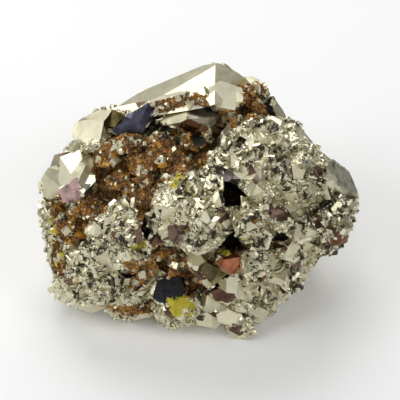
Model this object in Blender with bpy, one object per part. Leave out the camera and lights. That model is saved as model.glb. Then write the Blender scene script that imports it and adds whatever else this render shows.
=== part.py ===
# A hand specimen of pyrite: grown-together crystals and broken lumps round a recessed, diagonal valley.
# Metres, +Z up. The specimen rests on a flat base at z = 0.
import math
import random

import bmesh
import bpy
from mathutils import Euler, Matrix, Vector
from mathutils.bvhtree import BVHTree

mm = 0.001

# The layout is drawn as the front is seen from 45 degrees above: units across to the right, units down,
# and then millimetres nearer to the eye than the middle of the specimen.
viewTilt = math.radians(45)
eyeDistance = 334
unitsPerMm = 4.5
middle = 200
nearEnd = 26

baseHeight = -21.6
flare = 1.12
rimWidth = 12
rimTaper = 0.16
backCount = 46
seed = 11
triangles = 9600
flatWithin = 0.06

# Crystals and lumps: name, outline as seen from the front, how far back it reaches, and its front faces,
# each given by three points of its plane.
heroes = (
    # The upper ridge, behind the valley
    ("topPlate", -14,
     ((113, 107), (122, 99), (142, 84), (165, 77), (190, 69), (205, 65), (218, 63), (228, 67), (243, 76),
      (245, 91), (228, 99), (200, 107), (160, 111), (135, 111)),
     (((150, 103, -0.5), (216, 65, -2), (210, 92, 2.6)),
      ((150, 103, -0.5), (216, 65, -2), (150, 82, -10)),
      ((220, 66, -2.4), (243, 77, -3), (222, 92, 2.2)))),
    ("topStrip", -8,
     ((111, 108), (130, 104), (148, 101), (154, 107), (140, 117), (120, 120)),
     (((112, 108, -1), (150, 102, -0.3), (132, 118, 1.8)),)),
    ("topStep", -4,
     ((150, 101), (161, 97), (180, 92), (199, 93), (203, 104), (180, 110), (158, 112)),
     (((151, 103, 0.8), (198, 95, 2.8), (170, 110, 2.6)),
      ((180, 92, 1.8), (200, 94, 2.5), (190, 108, 3.6)))),
    ("upperLeft", -8,
     ((70, 131), (74, 124), (84, 117), (100, 110), (116, 108), (112, 122), (105, 137), (95, 141), (76, 141)),
     (((71, 132, -2), (84, 118, -2), (94, 134, 2.8)),
      ((84, 118, -2), (110, 109, -1.5), (98, 128, 3.4)),
      ((114, 110, -1), (105, 137, 1.2), (99, 127, 3.3)))),
    ("oliveWedge", -6, ((112, 110), (125, 114), (123, 121), (107, 131), (104, 124)),
     (((114, 111, -0.2), (124, 117, 1.2), (107, 130, 0.6)),)),
    ("violet", -5, ((110, 131), (119, 121), (130, 114), (148, 104), (154, 110), (150, 121), (141, 132), (122, 135)),
     (((112, 130, 1.2), (148, 105, 1.6), (140, 124, 4.6)),
      ((148, 105, 1.6), (153, 110, 1), (141, 128, 4.3)),
      ((112, 131, 1.1), (140, 125, 4.5), (130, 134, 2.6)))),
    ("ridgeGem", -5, ((161, 121), (172, 110), (186, 105), (212, 107), (222, 119), (230, 132), (217, 142), (205, 131),
                      (180, 129)),
     (((164, 119, 3), (186, 106, 1.6), (188, 117, 6)),
      ((190, 107, 1.8), (214, 110, 1.4), (189, 118, 6)),
      ((179, 126, 5.4), (208, 128, 5.2), (195, 136, 2)),
      ((211, 127, 4.8), (221, 118, 2.2), (222, 139, 1.2)))),
    ("hexagon", -5, ((205, 97), (211, 89), (220, 82), (242, 88), (243, 102), (232, 111), (214, 110)),
     (((206, 97, 3.2), (240, 90, 2.8), (226, 108, 4.2)),)),
    ("topRight", -10, ((239, 79), (247, 72), (254, 70), (261, 75), (269, 93), (258, 93), (245, 90)),
     (((244, 76, -5), (262, 80, -5), (252, 89, -1)),
      ((240, 80, -3.5), (250, 74, -5), (246, 90, -0.8)))),
    ("brownRing", -8, ((246, 86), (256, 83), (266, 88), (264, 95), (255, 90), (249, 94)),
     (((246, 88, 0.6), (265, 89, -0.2), (256, 94, 1.6)),)),
    ("striatedBlack", -8, ((262, 102), (270, 99), (276, 116), (267, 112)),
     (((263, 102, -1.4), (274, 104, -2.4), (270, 114, -0.2)),)),
    ("rightEdgeOne", -10, ((267, 91), (276, 97), (284, 107), (290, 122), (279, 119), (272, 105)),
     (((269, 92, -4), (284, 108, -5), (277, 117, -1.4)),)),
    ("rightEdgeTwo", -8, ((262, 119), (272, 116), (283, 117), (292, 123), (281, 130), (267, 127)),
     (((264, 118, 1.6), (290, 122, -0.6), (276, 129, 4)),)),

    # The big mass on the right of the valley
    ("ridgeMass", -6, ((203, 157), (226, 136), (249, 118), (262, 120), (284, 136), (294, 160), (290, 200), (262, 206),
                       (226, 202), (206, 180)),
     (((207, 151, 5), (249, 119, 5.4), (232, 146, 9.6)),
      ((249, 119, 5.4), (286, 140, 5.4), (260, 150, 11.4)),
      ((232, 146, 9.6), (260, 150, 11.4), (238, 198, 13.4)),
      ((260, 150, 11.4), (292, 190, 8.6), (264, 202, 13.8)),
      ((205, 157, 5.4), (232, 148, 9.6), (216, 190, 11)))),
    ("whiteBand", 0, ((222, 142), (236, 127), (249, 119), (251, 124), (243, 136), (230, 147)),
     (((224, 142, 8.2), (248, 120, 7.2), (240, 138, 9.8)),)),
    ("apexFront", 2, ((249, 122), (256, 120), (264, 131), (259, 150), (250, 152), (247, 136)),
     (((249, 124, 7.6), (257, 148, 13), (248, 148, 12.2)),
      ((256, 121, 6.8), (264, 134, 8.4), (257, 148, 13)))),
    ("apexRight", 2, ((262, 124), (275, 131), (284, 146), (274, 155), (263, 146)),
     (((264, 126, 7), (283, 144, 7.2), (270, 153, 11.6)),)),
    ("ridgeLedge", 2, ((208, 156), (218, 149), (236, 152), (243, 166), (226, 175), (210, 171)),
     (((209, 157, 7.6), (236, 154, 11.2), (222, 173, 12.2)),)),
    ("dome", -6, ((271, 131), (284, 123), (300, 127), (312, 141), (317, 151), (298, 157), (277, 151)),
     (((282, 126, 2), (308, 135, 0.6), (292, 144, 7.6)),
      ((308, 135, 0.6), (316, 150, 1.4), (292, 146, 7.6)),
      ((273, 130, 3.8), (284, 125, 2), (286, 148, 8.2)))),
    ("curvedLedge", -6, ((262, 153), (290, 149), (318, 149), (333, 161), (318, 165), (280, 162)),
     (((264, 152, 9), (325, 155, 1.6), (296, 162, 8.4)),)),
    ("rightMass", -6, ((271, 190), (276, 160), (300, 154), (322, 160), (331, 180), (318, 199), (290, 207)),
     (((277, 161, 8), (302, 156, 7.6), (285, 196, 13)),
      ((302, 156, 7.6), (328, 180, 4.6), (304, 196, 11.6)))),
    ("rightMassFace", 2, ((281, 160), (290, 157), (297, 163), (292, 177), (283, 174)),
     (((282, 160, 10.4), (295, 163, 9.2), (287, 176, 12.2)),)),
    ("rightMassUpper", 2, ((296, 161), (310, 160), (313, 172), (302, 178), (296, 171)),
     (((297, 161, 9.6), (312, 164, 7), (303, 177, 11.4)),)),
    ("brownStrip", 2, ((309, 166), (318, 165), (326, 181), (321, 190), (312, 180)),
     (((310, 167, 9), (325, 183, 6.2), (314, 184, 9.6)),)),
    ("pinkCream", 2, ((303, 189), (313, 177), (321, 179), (316, 194), (307, 199)),
     (((305, 187, 10.8), (319, 180, 8.4), (309, 198, 11)),)),
    ("greySliver", 0, ((311, 157), (322, 159), (331, 174), (328, 186), (319, 176)),
     (((312, 157, 8), (330, 172, 3.8), (320, 180, 7.6)),)),
    ("rightEdge", -9, ((326, 166), (333, 159), (342, 168), (349, 171), (354, 182), (360, 200), (352, 205), (340, 194),
                       (329, 190)),
     (((332, 163, 1.6), (353, 181, -3), (349, 200, 1.4)),
      ((327, 171, 3.6), (337, 190, 4.4), (336, 166, 0.8)))),
    ("rightCorner", -8, ((348, 200), (359, 199), (357, 209), (353, 218), (345, 212)),
     (((350, 201, 2.2), (358, 204, -0.8), (349, 213, 2)),)),
    ("column", 4, ((240, 168), (250, 163), (263, 164), (273, 176), (270, 196), (260, 207), (246, 205), (238, 188)),
     (((249, 168, 13), (262, 168, 13), (254, 202, 16)),
      ((262, 168, 13), (272, 182, 10.6), (261, 202, 15.6)),
      ((249, 168, 13), (240, 182, 11.4), (247, 202, 15.4)))),
    ("columnLeft", 2, ((222, 158), (240, 160), (248, 172), (242, 186), (226, 176)),
     (((223, 160, 10.6), (246, 168, 12.8), (238, 184, 13.6)),)),
    ("purpleGrey", 2, ((218, 172), (231, 170), (240, 180), (237, 188), (221, 187)),
     (((219, 173, 11), (239, 180, 11), (228, 188, 13)),)),
    ("whiteByHole", 2, ((207, 177), (217, 174), (220, 184), (215, 192), (207, 189)),
     (((208, 177, 11.6), (219, 177, 11.4), (211, 191, 14)),)),
    ("lowRight", -6, ((270, 197), (288, 191), (303, 194), (306, 206), (290, 212), (272, 208)),
     (((271, 198, 11), (303, 196, 9.4), (286, 211, 12.4)),)),

    # The middle boulder and its neighbours
    ("boulder", -4, ((152, 193), (165, 179), (182, 172), (200, 170), (212, 183), (233, 204), (234, 228), (225, 240),
                     (209, 248), (192, 251), (165, 237), (153, 215)),
     (((153, 196, 10.6), (181, 174, 8.6), (178, 205, 17)),
      ((181, 174, 8.6), (212, 186, 10), (196, 200, 17.6)),
      ((212, 186, 10), (233, 208, 12), (207, 214, 18.4)),
      ((178, 205, 17), (207, 214, 18.4), (192, 230, 18.2)),
      ((153, 200, 11.6), (178, 214, 17.4), (168, 236, 12.4)),
      ((170, 225, 16), (213, 232, 17), (196, 249, 11.4)),
      ((207, 214, 18.4), (233, 214, 13), (216, 244, 13)))),
    ("boulderLeft", 2, ((154, 196), (165, 186), (178, 190), (180, 208), (166, 220), (155, 212)),
     (((156, 196, 12.4), (176, 190, 14), (165, 218, 15.8)),)),
    ("boulderTop", 2, ((170, 182), (185, 173), (198, 176), (201, 188), (184, 193)),
     (((171, 182, 11), (196, 176, 10.8), (188, 192, 15.4)),)),
    ("boulderLedge", 4, ((196, 190), (212, 188), (226, 201), (222, 211), (204, 205)),
     (((198, 190, 13.6), (224, 200, 13.8), (208, 206, 18.2)),)),
    ("boulderCore", 6, ((184, 199), (203, 199), (215, 210), (213, 225), (196, 230), (182, 219)),
     (((185, 201, 17.2), (213, 207, 18.2), (198, 213, 20)),
      ((185, 201, 17.2), (198, 213, 20), (190, 229, 18.2)),
      ((198, 213, 20), (214, 212, 18), (204, 229, 18.2)))),
    ("boulderBrown", 4, ((167, 226), (180, 224), (186, 236), (178, 245), (169, 240)),
     (((168, 227, 15.6), (185, 232, 17), (175, 243, 13.6)),)),
    ("boulderFoot", 2, ((186, 236), (205, 232), (221, 238), (214, 249), (198, 255), (188, 250)),
     (((187, 236, 16.6), (219, 236, 15.6), (202, 254, 12.2)),)),
    ("boulderRight", 4, ((217, 208), (230, 206), (236, 218), (233, 232), (222, 236), (216, 222)),
     (((218, 209, 16.4), (234, 212, 13), (222, 234, 15.4)),)),
    ("betweenBlocks", 0, ((188, 180), (200, 176), (209, 180), (206, 192), (194, 194)),
     (((189, 180, 11.2), (208, 181, 10.8), (198, 193, 14)),)),
    ("lumpFive", -2, ((231, 217), (241, 207), (258, 203), (270, 207), (277, 230), (268, 243), (250, 248), (238, 238)),
     (((232, 217, 13.6), (245, 207, 13.8), (247, 230, 18.2)),
      ((245, 207, 13.8), (266, 206, 13.6), (256, 221, 18.8)),
      ((266, 206, 13.6), (276, 232, 12.6), (257, 224, 18.8)),
      ((240, 236, 15.4), (268, 240, 13.4), (252, 230, 18.2)))),
    ("lumpFiveFacet", 6, ((237, 214), (248, 208), (256, 216), (251, 230), (240, 230)),
     (((238, 214, 16), (255, 214, 17.8), (245, 230, 18.8)),)),
    ("brownPlate", 0, ((268, 207), (282, 206), (287, 214), (279, 222), (270, 219)),
     (((269, 208, 13.2), (286, 212, 11.4), (275, 221, 14.8)),)),
    ("brightPlate", 0, ((272, 217), (286, 212), (293, 222), (285, 233), (273, 229)),
     (((273, 217, 13.6), (290, 216, 12), (281, 231, 15)),)),

    # The broken lower right
    ("rightRubble", -8, ((284, 206), (306, 207), (322, 200), (341, 197), (353, 213), (352, 230), (338, 245),
                         (310, 252), (288, 242)),
     (((286, 207, 9), (345, 205, 2.2), (306, 240, 11.4)),
      ((345, 205, 2.2), (352, 228, 0.4), (322, 245, 7.6)))),
    ("rubbleOne", 0, ((303, 208), (318, 205), (324, 216), (314, 224), (303, 219)),
     (((304, 209, 8.6), (322, 208, 6.4), (312, 223, 11.6)),)),
    ("rubbleTwo", 0, ((324, 200), (340, 197), (348, 208), (340, 218), (326, 213)),
     (((325, 201, 5.4), (346, 205, 2.4), (334, 217, 7.6)),)),
    ("rubbleThree", 0, ((330, 218), (346, 214), (353, 226), (344, 236), (331, 232)),
     (((331, 218, 7), (352, 221, 1.6), (338, 235, 6.6)),)),
    ("rubbleFour", 0, ((290, 222), (308, 222), (316, 234), (304, 246), (290, 240)),
     (((291, 223, 11.4), (315, 230, 9.4), (299, 245, 12.4)),)),
    ("rubbleFive", 0, ((314, 228), (330, 226), (336, 240), (322, 248), (312, 242)),
     (((315, 229, 9), (335, 234, 5.4), (320, 247, 8.8)),)),
    ("brownWedge", -4, ((325, 247), (336, 232), (349, 236), (346, 243), (333, 249)),
     (((327, 246, 5.4), (338, 233, 6.4), (348, 238, 1)),)),
    ("whiteLedge", -5, ((302, 249), (322, 242), (335, 244), (331, 251), (318, 259), (304, 259)),
     (((304, 248, 7), (333, 244, 3), (315, 257, 5)),)),
    ("lowerMass", -12, ((243, 247), (268, 240), (291, 239), (324, 251), (318, 261), (307, 275), (300, 288), (283, 303),
                        (262, 311), (241, 301), (237, 271)),
     (((246, 249, 13), (290, 244, 11), (270, 281, 9.4)),
      ((290, 244, 11), (320, 258, 2.4), (288, 292, 2.8)),
      ((244, 262, 12), (270, 282, 9.2), (246, 303, 4.4)))),
    ("lowerOne", 0, ((250, 246), (266, 243), (275, 252), (268, 264), (253, 260)),
     (((251, 247, 13.6), (274, 250, 12.2), (260, 263, 13.6)),)),
    ("lowerTwo", 0, ((278, 243), (294, 240), (303, 250), (295, 262), (280, 258)),
     (((279, 243, 11.8), (302, 248, 9.2), (288, 261, 11.4)),)),
    ("lowerThree", 0, ((262, 264), (280, 260), (290, 272), (280, 284), (264, 280)),
     (((263, 265, 11.4), (289, 268, 8.6), (272, 283, 10.2)),)),
    ("lowerFour", -4, ((286, 262), (300, 257), (309, 266), (302, 278), (289, 276)),
     (((287, 263, 8.6), (308, 266, 4), (295, 277, 7)),)),
    ("lowerFive", -4, ((243, 272), (258, 270), (264, 284), (254, 296), (242, 290)),
     (((244, 273, 11.4), (262, 278, 9.8), (250, 295, 8)),)),
    ("lowerSix", -5, ((266, 288), (284, 284), (298, 288), (286, 301), (272, 303)),
     (((267, 289, 7.6), (296, 287, 3), (276, 302, 5.2)),)),

    # The foot of the front: white blocks, the copper and the slate crystals
    ("copper", 0, ((216, 262), (220, 251), (230, 247), (241, 252), (242, 268), (231, 275), (222, 270)),
     (((218, 254, 10), (236, 251, 10), (227, 260, 13.2)),
      ((218, 263, 12.8), (240, 257, 12.8), (230, 274, 12)))),
    ("whiteCurve", 0, ((237, 250), (248, 251), (255, 264), (247, 271), (241, 262)),
     (((238, 251, 12.6), (252, 255, 11), (246, 269, 13.4)),)),
    ("oliveBox", 0, ((198, 269), (208, 260), (228, 272), (213, 285)),
     (((200, 268, 10.4), (226, 271, 9.6), (211, 283, 11.2)),)),
    ("whiteBlockUpper", 0, ((183, 254), (196, 249), (205, 262), (199, 271), (187, 267)),
     (((185, 254, 9.6), (203, 259, 10.8), (192, 270, 12)),)),
    ("whiteBlockStrip", 0, ((188, 268), (197, 265), (214, 283), (208, 289)),
     (((190, 268, 10.6), (211, 284, 10.4), (197, 266, 10)),)),
    ("slate", 0, ((153, 296), (158, 282), (165, 275), (176, 274), (185, 279), (186, 292), (173, 303), (164, 305),
                  (156, 301)),
     (((155, 288, 8.2), (184, 281, 8.8), (169, 303, 10.8)),
      ((176, 275, 8), (186, 284, 7), (178, 300, 9.4)))),
    ("slateLeft", 0, ((147, 283), (158, 279), (161, 290), (154, 299), (147, 295)),
     (((148, 284, 6.6), (160, 281, 8), (152, 298, 7.6)),)),
    ("footOne", -6, ((198, 300), (214, 293), (229, 298), (227, 310), (205, 313)),
     (((200, 300, 6.6), (227, 299, 6.2), (211, 312, 7.6)),)),
    ("footTwo", -8, ((193, 315), (208, 310), (223, 322), (215, 329), (198, 325)),
     (((195, 315, 4), (219, 318, 4), (205, 328, 3)),)),
    ("footThree", -6, ((216, 309), (232, 307), (241, 320), (231, 327), (218, 322)),
     (((217, 310, 6), (238, 314, 5.2), (226, 326, 5)),)),
    ("footFour", -6, ((234, 297), (252, 294), (261, 305), (251, 314), (237, 311)),
     (((235, 297, 6.8), (259, 302, 4.6), (244, 313, 6.4)),)),
    ("footFive", -8, ((249, 310), (262, 305), (271, 311), (262, 323), (252, 321)),
     (((250, 310, 4), (269, 311, 1.2), (257, 322, 3)),)),
    ("footBrown", -4, ((211, 292), (222, 289), (238, 296), (229, 304), (216, 301)),
     (((213, 292, 7.4), (236, 296, 7), (220, 302, 7.6)),)),
    ("footPair", -4, ((218, 281), (236, 275), (253, 284), (247, 299), (228, 298)),
     (((220, 282, 8.6), (239, 277, 9), (231, 297, 8.4)),
      ((239, 277, 9), (252, 285, 6.8), (242, 298, 7.6)))),
    ("footTip", -9, ((227, 322), (252, 319), (255, 331), (245, 338), (235, 338), (228, 330)),
     (((229, 323, 5.6), (253, 322, 3.6), (240, 337, 1.6)),
      ((229, 330, 3.6), (240, 326, 5.4), (238, 338, 0.6)))),
    ("dustPatch", -4, ((163, 300), (182, 296), (198, 303), (202, 318), (182, 325), (165, 315)),
     (((165, 301, 7), (196, 303, 6.6), (180, 322, 5)),)),
    ("footLeft", -8, ((149, 305), (164, 301), (171, 312), (169, 327), (157, 317)),
     (((151, 305, 5.2), (169, 307, 5.4), (162, 325, 2.4)),)),
    ("footUnder", -10, ((158, 311), (198, 311), (204, 324), (176, 328), (160, 322)),
     (((160, 312, 4), (200, 314, 4), (180, 327, 0.6)),)),

    # The lower left
    ("leftFoot", -8, ((51, 289), (56, 278), (68, 272), (84, 277), (86, 296), (72, 304), (58, 299)),
     (((54, 280, 0.6), (82, 279, 4.6), (66, 300, 2.4)),
      ((70, 274, 3), (84, 290, 4.4), (76, 303, 2)))),
    ("longLedge", -8, ((76, 277), (110, 270), (150, 278), (159, 294), (141, 306), (100, 306), (80, 301)),
     (((79, 277, 5), (152, 281, 8.2), (112, 304, 6)),)),
    ("ledgeBlock", 0, ((84, 282), (100, 278), (112, 288), (104, 300), (88, 298)),
     (((85, 282, 6.4), (111, 285, 7.6), (95, 299, 6.6)),)),
    ("whiteTray", -8, ((102, 307), (118, 301), (150, 300), (159, 308), (150, 317), (128, 322), (112, 317)),
     (((104, 306, 3.4), (156, 304, 5), (127, 321, 1.6)),)),
    ("leftFootBand", -8, ((70, 300), (104, 299), (106, 308), (92, 313), (76, 308)),
     (((72, 300, 3), (104, 301, 4), (90, 312, 0.6)),)),
    ("leftLower", -8, ((50, 250), (75, 243), (100, 248), (106, 273), (80, 281), (54, 277)),
     (((52, 251, 0.6), (98, 250, 8), (62, 277, 3)),
      ((75, 247, 4.6), (104, 268, 7.8), (80, 280, 4.4)))),
    ("leftMiddle", -6, ((97, 251), (130, 243), (158, 250), (160, 276), (130, 284), (101, 278)),
     (((99, 252, 8.6), (156, 252, 10.4), (127, 280, 7.8)),)),
    ("leftMiddleBlock", 0, ((112, 250), (130, 246), (142, 258), (134, 272), (115, 268)),
     (((113, 251, 10.6), (141, 255, 11.4), (122, 271, 10.6)),)),
    ("leftMass", -6, ((90, 226), (104, 213), (122, 199), (135, 203), (151, 222), (156, 245), (141, 262), (110, 264),
                      (93, 252)),
     (((99, 217, 6.8), (124, 200, 7.6), (118, 228, 13)),
      ((124, 200, 7.6), (151, 224, 9), (131, 232, 13.4)),
      ((118, 230, 13.2), (152, 244, 10), (121, 262, 9)),
      ((93, 228, 6), (113, 230, 12.4), (99, 252, 8)))),
    ("leftMassTop", 4, ((108, 213), (122, 203), (131, 208), (129, 222), (114, 226)),
     (((109, 214, 9.4), (130, 208, 9.8), (119, 225, 13.6)),)),
    ("leftWhite", 0, ((85, 226), (96, 221), (104, 229), (101, 241), (89, 241)),
     (((87, 226, 6.2), (103, 228, 8.8), (94, 241, 8.4)),)),
    ("leftBrown", 2, ((129, 228), (147, 227), (151, 236), (138, 243)),
     (((131, 229, 13), (149, 232, 11.4), (138, 241, 13)),)),
    ("leftBrownTwo", 2, ((148, 236), (160, 234), (163, 243), (152, 248)),
     (((149, 237, 11), (161, 236, 11), (154, 247, 12)),)),
    ("leftStone", 0, ((104, 236), (118, 232), (128, 242), (120, 252), (106, 250)),
     (((105, 237, 10.4), (127, 240, 13), (113, 251, 11.2)),)),

    # The left edge
    ("leftStrip", -8, ((41, 203), (50, 197), (55, 215), (57, 246), (54, 274), (48, 262)),
     (((43, 203, -1.2), (55, 213, 2), (50, 264, 0)),)),
    ("pocketWhite", -2, ((53, 218), (70, 214), (73, 232), (60, 237)),
     (((55, 218, 3.4), (71, 218, 3.8), (62, 236, 4.6)),)),
    ("pocketWhiteTwo", -2, ((59, 237), (69, 234), (73, 249), (63, 252)),
     (((60, 237, 3.2), (70, 237, 4), (67, 250, 4.8)),)),
    ("pentagon", -8, ((41, 180), (48, 168), (57, 166), (63, 176), (62, 192), (56, 200), (43, 197)),
     (((42, 182, -2.4), (60, 178, 2.6), (52, 198, 1.2)),
      ((47, 169, -2.6), (58, 168, -0.4), (58, 182, 2.4)))),
    ("leftPlates", -6, ((50, 167), (54, 155), (66, 152), (64, 164), (56, 170)),
     (((52, 164, -1), (65, 154, 0.4), (60, 168, 1.8)),)),
    ("leftGem", -5, ((60, 157), (77, 150), (93, 156), (95, 172), (88, 184), (72, 190), (60, 182)),
     (((62, 158, 1.2), (87, 156, 2), (73, 176, 6.4)),
      ((87, 156, 2), (94, 174, 2.6), (80, 181, 6)),
      ((61, 160, 1.2), (72, 176, 6.3), (62, 186, 3.2)))),
    ("pinkFace", -4, ((60, 190), (77, 179), (81, 197), (73, 204), (63, 201)),
     (((62, 190, 3.8), (78, 182, 6.2), (74, 203, 3.4)),)),
    ("smallGem", 0, ((76, 184), (84, 174), (94, 176), (96, 190), (87, 197), (76, 194)),
     (((77, 185, 6), (91, 176, 5), (83, 186, 8.6)),
      ((83, 185, 8.6), (94, 186, 5.4), (86, 197, 6.4)),
      ((77, 185, 6), (83, 187, 8.6), (79, 196, 6)))),
    ("whiteChip", -5, ((64, 149), (72, 140), (84, 143), (81, 151)),
     (((66, 148, -1), (76, 142, -1), (76, 151, 1.2)),)),
    ("creamChip", -4, ((83, 143), (97, 138), (108, 144), (99, 152), (86, 151)),
     (((84, 143, 1), (106, 143, 1.6), (94, 152, 3.6)),)),

    # Crystals that stand in the valley
    ("valleyPlate", -2, ((143, 142), (156, 131), (163, 135), (149, 154)),
     (((145, 142, 5.4), (160, 134, 4.4), (150, 151, 7)),)),
    ("valleyPale", -2, ((127, 157), (140, 148), (154, 149), (158, 164), (146, 177), (131, 173)),
     (((129, 157, 5.2), (153, 151, 5.6), (142, 164, 9)),
      ((142, 163, 9), (157, 163, 6), (141, 176, 6.6)),
      ((129, 158, 5.4), (142, 164, 9), (134, 174, 6.2)))),
    ("valleyGrey", -2, ((107, 179), (118, 170), (129, 176), (125, 188), (111, 188)),
     (((108, 179, 4.6), (126, 175, 5.2), (117, 188, 7.6)),)),
    ("valleyUpper", -3, ((110, 141), (126, 134), (144, 136), (141, 150), (118, 153)),
     (((112, 141, 3.4), (143, 138, 4.8), (126, 152, 5.8)),)),
    ("valleyGrain", -2, ((149, 147), (165, 141), (176, 151), (167, 164), (151, 161)),
     (((150, 147, 6), (174, 150, 6), (159, 163, 7.8)),)),
    ("underGem", -2, ((183, 134), (200, 131), (207, 142), (196, 151), (184, 146)),
     (((184, 135, 4.6), (206, 140, 4.8), (192, 150, 6.8)),)),
    ("valleyLeft", -3, ((96, 154), (108, 149), (118, 156), (112, 168), (98, 166)),
     (((97, 155, 3), (117, 156, 4), (104, 167, 5)),)),
    ("valleyRight", -2, ((206, 118), (224, 106), (236, 112), (230, 126), (212, 130)),
     (((208, 119, 2.6), (234, 113, 2), (219, 129, 4.4)),)),
    ("valleyMiddle", -2, ((160, 158), (180, 152), (192, 162), (182, 174), (162, 172)),
     (((161, 159, 6), (191, 159, 6.4), (172, 173, 8.2)),)),
    ("valleyLow", -2, ((122, 186), (140, 180), (152, 190), (146, 206), (126, 202)),
     (((123, 187, 5.6), (151, 188, 7.2), (134, 205, 8.4)),)),
    ("pocketGrain", -3, ((74, 202), (92, 196), (104, 206), (94, 220), (76, 216)),
     (((75, 203, 3), (103, 204, 5), (85, 218, 5.4)),)),
    ("lowerValley", -2, ((158, 246), (176, 242), (186, 254), (180, 268), (160, 264)),
     (((159, 247, 6.4), (185, 252, 7.4), (170, 267, 8)),)),
)

# Those with large clean faces, whose corners are hardly cut
clearCrystals = (
    "topPlate", "violet", "ridgeGem", "hexagon", "copper", "slate", "pentagon", "leftGem", "pinkFace", "oliveBox",
    "striatedBlack", "rightEdge", "upperLeft", "smallGem", "column", "purpleGrey",
)

# The body that carries them: where it shows, it is the floor of the valley
coreFront = (
    (215, 78, -7), (250, 86, -8), (272, 112, -7), (300, 145, -6), (334, 180, -5), (344, 208, -5), (336, 230, -6),
    (312, 248, -7), (296, 278, -7), (262, 300, -7), (238, 322, -6), (180, 314, -5), (110, 302, -6), (66, 288, -6),
    (56, 240, -6), (54, 194, -6), (82, 138, -6), (130, 110, -7),
    (195, 128, -1.5), (235, 118, -1.5), (130, 160, 0), (180, 160, 2), (150, 215, 5), (200, 218, 9), (255, 214, 8),
    (268, 160, 5), (122, 232, 5.6), (90, 196, 0.6), (170, 282, 3.2), (240, 284, 3), (298, 200, 2.2), (72, 226, 0.4),
)
# The hidden back and underside, in millimetres: x, y, z
coreBack = (
    (-21, -11, -23), (9, -18, -23), (17, -6, -23), (16, 11, -23), (-7, 15, -23), (-21, 11, -23),
    (-28, 10, -8), (-27, 16, 3), (-13, 24, 5), (7, 26, 8), (19, 20, 0), (27, 10, -3), (-18, 20, -8),
    (6, 24, -8), (-13, 21, 11), (5, 24, 13), (-27, -8, -14),
)

# The outline that nothing at the back sticks out of
rim = (
    (218, 66), (242, 78), (258, 78), (268, 94), (284, 118), (300, 130), (316, 152), (340, 171), (356, 200),
    (350, 228), (336, 242), (316, 258), (298, 286), (280, 302), (258, 318), (245, 332), (232, 330), (198, 322),
    (164, 320), (130, 317), (104, 306), (90, 307), (60, 296), (52, 272), (47, 235), (44, 200), (46, 176),
    (58, 158), (72, 144), (74, 128), (92, 115), (124, 101), (144, 87), (190, 72),
)

# Deep holes and clefts: outline in the layout, how near the floor is, and which way it leans as it goes in
holes = (
    (((216, 184), (224, 179), (236, 183), (252, 201), (238, 210), (221, 206)), 2, (3, 4)),
    (((218, 247), (224, 237), (234, 229), (243, 238), (241, 251), (228, 253)), 3, (2, -3)),
    (((146, 208), (153, 214), (152, 236), (146, 242), (140, 226)), 2, (-2, 2)),
    (((183, 285), (194, 279), (207, 284), (204, 297), (188, 298)), 1, (0, 3)),
    (((304, 214), (316, 203), (341, 191), (344, 197), (325, 208), (309, 219)), 0, (3, -3)),
    (((264, 143), (276, 139), (286, 147), (277, 154), (267, 151)), 6, (3, 3)),
    (((150, 256), (160, 249), (172, 258), (170, 275), (157, 271)), 2, (4, 4)),
    (((232, 142), (238, 136), (247, 141), (245, 149), (235, 150)), 6, (2, -3)),
    (((203, 146), (214, 137), (226, 135), (220, 147), (208, 155)), -2, (-3, 3)),
    (((260, 245), (272, 240), (287, 244), (281, 251), (264, 252)), 7, (2, 2)),
    (((297, 181), (304, 179), (308, 192), (303, 202), (297, 196)), 6, (3, 3)),
    (((108, 272), (126, 267), (148, 269), (142, 277), (114, 279)), 3, (0, 3)),
)

# Loose rubble and small crystals on the front: zone centre, radii, how many, sizes in millimetres and habit
zones = (
    ((252, 158), (36, 34), 14, (2.4, 4.8), "block"),
    ((300, 178), (28, 26), 10, (2.4, 4.4), "block"),
    ((192, 212), (36, 34), 14, (2.4, 4.8), "block"),
    ((254, 224), (17, 16), 5, (2.4, 3.8), "block"),
    ((122, 232), (28, 26), 10, (2.4, 4.4), "block"),
    ((322, 222), (28, 20), 9, (2.4, 4), "block"),
    ((276, 270), (36, 26), 14, (2.4, 4.4), "block"),
    ((105, 286), (46, 13), 8, (2.4, 4.2), "block"),
    ((80, 260), (24, 12), 5, (2.4, 4), "block"),
    ((130, 165), (34, 26), 8, (2, 3.4), "block"),
    ((195, 140), (34, 16), 6, (1.8, 3), "block"),
    ((252, 98), (14, 12), 4, (2, 3), "block"),
    ((78, 222), (22, 22), 5, (2, 3.2), "cube"),
    ((165, 258), (16, 20), 4, (2, 3), "cube"),
)


def place(across, down, near):
    """The point of the layout in the specimen's own space, in millimetres."""
    shrink = (eyeDistance - near) / eyeDistance
    x = (across - middle) / unitsPerMm * shrink
    up = (middle - down) / unitsPerMm * shrink
    y = up * math.sin(viewTilt) - near * math.cos(viewTilt)
    z = up * math.cos(viewTilt) + near * math.sin(viewTilt)
    return Vector((x, y, z))


towardsEye = Vector((0, -math.cos(viewTilt), math.sin(viewTilt)))


def hull(points):
    """A closed convex body round these points."""
    body = bmesh.new()
    for point in points:
        body.verts.new(point)
    found = bmesh.ops.convex_hull(body, input=body.verts)
    loose = {item for item in found["geom_interior"] if isinstance(item, bmesh.types.BMVert)}
    bmesh.ops.delete(body, geom=list(loose), context="VERTS")
    bmesh.ops.dissolve_limit(body, angle_limit=math.radians(0.5), verts=body.verts, edges=body.edges)
    return body


def slice_off(body, point, outwards):
    """Cuts away what lies beyond a plane and closes the body with a flat face."""
    geometry = list(body.verts) + list(body.edges) + list(body.faces)
    cut = bmesh.ops.bisect_plane(body, geom=geometry, dist=1e-5, plane_co=point, plane_no=outwards, clear_outer=True)
    edges = [item for item in cut["geom_cut"] if isinstance(item, bmesh.types.BMEdge)]
    if len(edges) > 2:
        bmesh.ops.contextual_create(body, geom=edges)


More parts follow.
